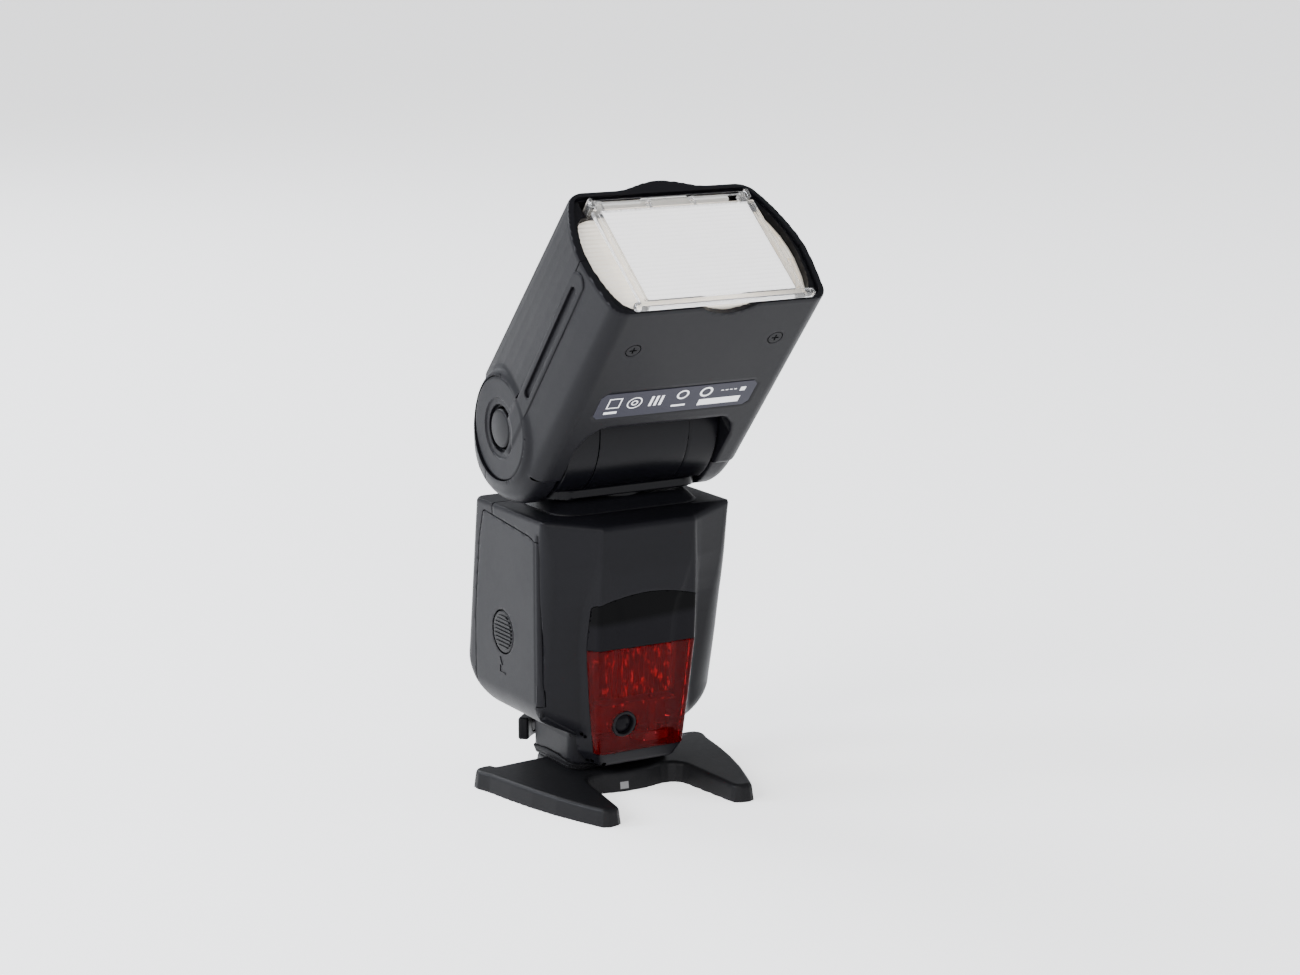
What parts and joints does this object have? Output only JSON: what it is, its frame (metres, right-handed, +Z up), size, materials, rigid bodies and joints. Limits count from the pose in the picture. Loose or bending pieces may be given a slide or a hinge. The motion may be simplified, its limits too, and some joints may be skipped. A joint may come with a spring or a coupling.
{
  "type": "speedlight flash",
  "caption": "Bounce flash on a small two-legged stand: swivelling, tilting head with a flip-down wide panel, hot-shoe foot, battery door and rear control panel.",
  "frame": {"origin": "on the stand's underside, straight below the crossing of the swivel axis and the tilt axis", "axes": "+Z up, -Y the way the body's front panel faces, +X to the right seen from the front"},
  "size_m": [0.084, 0.1075, 0.1906],
  "materials": {
    "case": "fine moulded texture, charcoal",
    "smooth_black": "smooth satin black",
    "trim_black": "matte black",
    "dark_window": "polished infrared window",
    "red_window": "transparent deep red",
    "clear_plastic": "clear moulded acrylic",
    "steel": "machined steel",
    "brass": "turned brass",
    "rubber": "soft black rubber",
    "reflector": "bright anodised",
    "white_plastic": "white",
    "label": "printed grey plate",
    "display": "display window",
    "board": "circuit board",
    "cell": "wrapped cell",
    "amber": "lit button"
  },
  "bodies": {
    "stand": {"stand_body": "case", "tripod_insert": "brass"},
    "flash": {"foot_plate": "steel", "foot_screws": "steel", "foot_contacts": "brass", "foot_pedestal": "case", "foot_seal": "rubber", "front_cover": "case", "rear_cover": "case", "ir_window": "dark_window", "af_window": "red_window", "sensor_ring": "trim_black", "sensor_lens": "dark_window", "af_lamp_module": "trim_black", "battery_tray": "trim_black", "batteries": "cell", "battery_contacts": "steel", "door_hinge_pin": "steel", "main_board": "board", "main_capacitor": "smooth_black", "lcd_window": "display", "lcd_module": "white_plastic", "pc_socket": "steel", "power_socket": "trim_black", "swivel_collar": "case"},
    "door": {"battery_door": "case"},
    "door_lock": {"door_lock_button": "trim_black"},
    "lever": {"lock_lever": "trim_black"},
    "lever_catch": {"lever_button": "trim_black"},
    "pin": {"locking_pin": "steel"},
    "dial": {"select_dial": "trim_black"},
    "set": {"set_button": "trim_black"},
    "button_1": {"function_button_1": "trim_black"},
    "button_2": {"function_button_2": "trim_black"},
    "button_3": {"function_button_3": "trim_black"},
    "button_4": {"function_button_4": "trim_black"},
    "pilot": {"pilot_button": "amber"},
    "switch": {"power_switch": "trim_black"},
    "terminal_flap": {"terminal_cover": "rubber"},
    "neck": {"neck_frame": "smooth_black", "neck_end_caps": "smooth_black", "swivel_retainer": "steel"},
    "head": {"head_lower_case": "case", "head_upper_case": "case", "head_bezel": "smooth_black", "fresnel_lens": "clear_plastic", "label_plate": "label", "head_screws": "trim_black", "tilt_axles": "steel", "left_side_cover": "case", "right_side_cover": "case", "zoom_motor": "steel"},
    "tilt_release": {"tilt_button": "trim_black"},
    "zoom_unit": {"zoom_carriage": "trim_black", "reflector": "reflector", "flash_tube": "clear_plastic"},
    "screw": {"lead_screw": "steel"},
    "wide_arms": {"wide_carriage": "clear_plastic"},
    "wide_flap": {"wide_panel": "clear_plastic"},
    "catchlight": {"catch_panel": "white_plastic"}
  },
  "joints": [
    {"name": "stand_slide", "type": "slide", "parent": "stand", "child": "flash", "axis": [0, 1, 0], "range_m": [0, 0.022]},
    {"name": "swivel", "type": "hinge", "parent": "flash", "child": "neck", "pos_m": [0, 0, 0.092], "axis": [0, 0, 1], "range_deg": [-180, 180]},
    {"name": "tilt", "type": "hinge", "parent": "neck", "child": "head", "pos_m": [0, 0, 0.1154], "axis": [-1, 0, 0], "range_deg": [-57.4, 39.6]},
    {"name": "tilt_release", "type": "slide", "parent": "head", "child": "tilt_release", "axis": [1, 0, 0], "range_m": [0, 0.002], "stiffness_N_per_m": 400},
    {"name": "zoom", "type": "slide", "parent": "head", "child": "zoom_unit", "axis": [0, -0.6374, 0.7705], "range_m": [0, 0.016]},
    {"name": "zoom_screw", "type": "hinge", "parent": "head", "child": "screw", "pos_m": [0.0312, -0.03418, 0.15201], "axis": [0, -0.6374, 0.7705], "range_deg": [0, 970]},
    {"name": "wide_slide", "type": "slide", "parent": "head", "child": "wide_arms", "axis": [0, -0.6374, 0.7705], "range_m": [0, 0.006]},
    {"name": "wide_flip", "type": "hinge", "parent": "wide_arms", "child": "wide_flap", "pos_m": [0, -0.03562, 0.1856], "axis": [-1, 0, 0], "range_deg": [0, 90]},
    {"name": "catchlight_slide", "type": "slide", "parent": "head", "child": "catchlight", "axis": [0, -0.6374, 0.7705], "range_m": [0, 0.034]},
    {"name": "door_hinge", "type": "hinge", "parent": "flash", "child": "door", "pos_m": [-0.0315, -0.013, 0.055], "axis": [0, 0, 1], "range_deg": [0, 90]},
    {"name": "door_lock", "type": "slide", "parent": "door", "child": "door_lock", "axis": [1, 0, 0], "range_m": [0, 0.001], "stiffness_N_per_m": 300},
    {"name": "lock_lever", "type": "hinge", "parent": "flash", "child": "lever", "pos_m": [0, 0.007, 0.0127], "axis": [0, 0, 1], "range_deg": [-35, 0]},
    {"name": "lock_pin", "type": "slide", "parent": "flash", "child": "pin", "axis": [0, 0, 1], "range_m": [-0.0016, 0]},
    {"name": "lever_release", "type": "slide", "parent": "lever", "child": "lever_catch", "axis": [0.5878, -0.809, 0], "range_m": [0, 0.001], "stiffness_N_per_m": 300},
    {"name": "dial_spin", "type": "hinge", "parent": "flash", "child": "dial", "pos_m": [0, 0.03585, 0.04981], "axis": [0, 0.9835, 0.1807], "continuous": true},
    {"name": "set_push", "type": "slide", "parent": "flash", "child": "set", "axis": [0, -0.9835, -0.1807], "range_m": [0, 0.0008], "stiffness_N_per_m": 300},
    {"name": "button_1_push", "type": "slide", "parent": "flash", "child": "button_1", "axis": [0, -0.9835, -0.1807], "range_m": [0, 0.0008], "stiffness_N_per_m": 300},
    {"name": "button_2_push", "type": "slide", "parent": "flash", "child": "button_2", "axis": [0, -0.9835, -0.1807], "range_m": [0, 0.0008], "stiffness_N_per_m": 300},
    {"name": "button_3_push", "type": "slide", "parent": "flash", "child": "button_3", "axis": [0, -0.9835, -0.1807], "range_m": [0, 0.0008], "stiffness_N_per_m": 300},
    {"name": "button_4_push", "type": "slide", "parent": "flash", "child": "button_4", "axis": [0, -0.9835, -0.1807], "range_m": [0, 0.0008], "stiffness_N_per_m": 300},
    {"name": "pilot_push", "type": "slide", "parent": "flash", "child": "pilot", "axis": [0, -0.9835, -0.1807], "range_m": [0, 0.0008], "stiffness_N_per_m": 300},
    {"name": "power_slide", "type": "slide", "parent": "flash", "child": "switch", "axis": [-1, 0, 0], "range_m": [0, 0.004]},
    {"name": "terminal_flap_hinge", "type": "hinge", "parent": "flash", "child": "terminal_flap", "pos_m": [0.0322, 0.001, 0.0448], "axis": [0, 1, 0], "range_deg": [0, 100]}
  ],
  "couplings": [
    {"joint": "zoom_screw", "follows": "zoom", "rad_per_m": 1047.2},
    {"joint": "lock_pin", "follows": "lock_lever", "m_per_rad": 0.002455}
  ]
}
